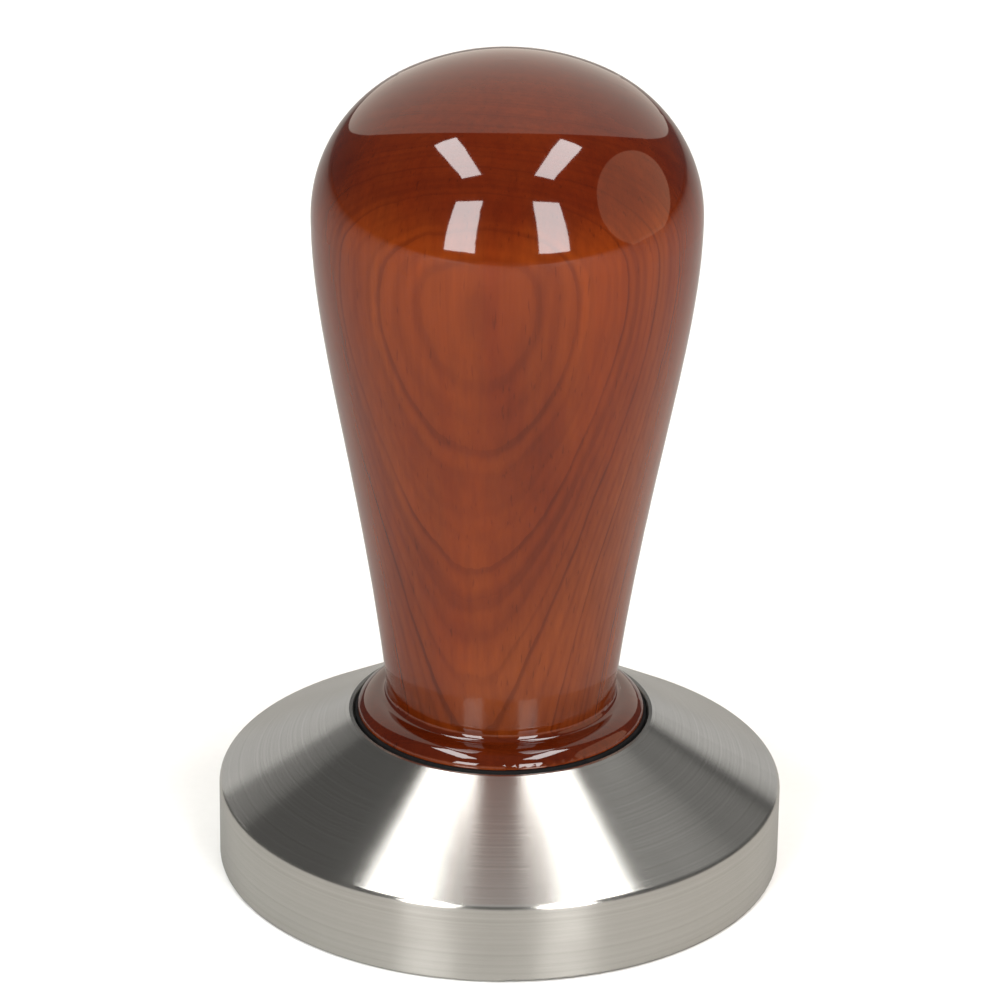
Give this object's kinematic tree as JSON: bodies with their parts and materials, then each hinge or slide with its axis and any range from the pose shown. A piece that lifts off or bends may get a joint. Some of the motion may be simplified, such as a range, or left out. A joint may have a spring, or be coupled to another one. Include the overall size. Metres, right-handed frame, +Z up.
{
  "type": "espresso tamper",
  "caption": "Espresso tamper for a 58 mm basket: a turned steel piston base with a pear-shaped lacquered wood handle that screws onto it.",
  "frame": {"origin": "centre of the flat tamping face, on the axis", "axes": "+Z up the handle's axis, from the tamping face to the crown; the part is round about Z, so X and Y are free"},
  "size_m": [0.058, 0.058, 0.0863],
  "materials": {
    "turned_steel": "fine circular turning marks, satin",
    "lacquered_wood": "reddish hardwood under clear gloss lacquer",
    "washer_rubber": "matte black",
    "insert_brass": "as machined",
    "stud_steel": "plain stainless"
  },
  "bodies": {
    "piston": {"base": "turned_steel", "stud": "stud_steel"},
    "washer": {"foot_washer": "washer_rubber"},
    "grip": {"handle": "lacquered_wood", "threaded_insert": "insert_brass"}
  },
  "joints": [
    {"name": "handle_rise", "type": "slide", "parent": "piston", "child": "washer", "axis": [0, 0, 1], "range_m": [0, 0.0138]},
    {"name": "handle_turn", "type": "hinge", "parent": "washer", "child": "grip", "pos_m": [0, 0, 0.0152], "axis": [0, 0, 1], "range_deg": [0, 3960]}
  ],
  "couplings": [
    {"joint": "handle_rise", "follows": "handle_turn", "m_per_rad": 0.00019894}
  ]
}
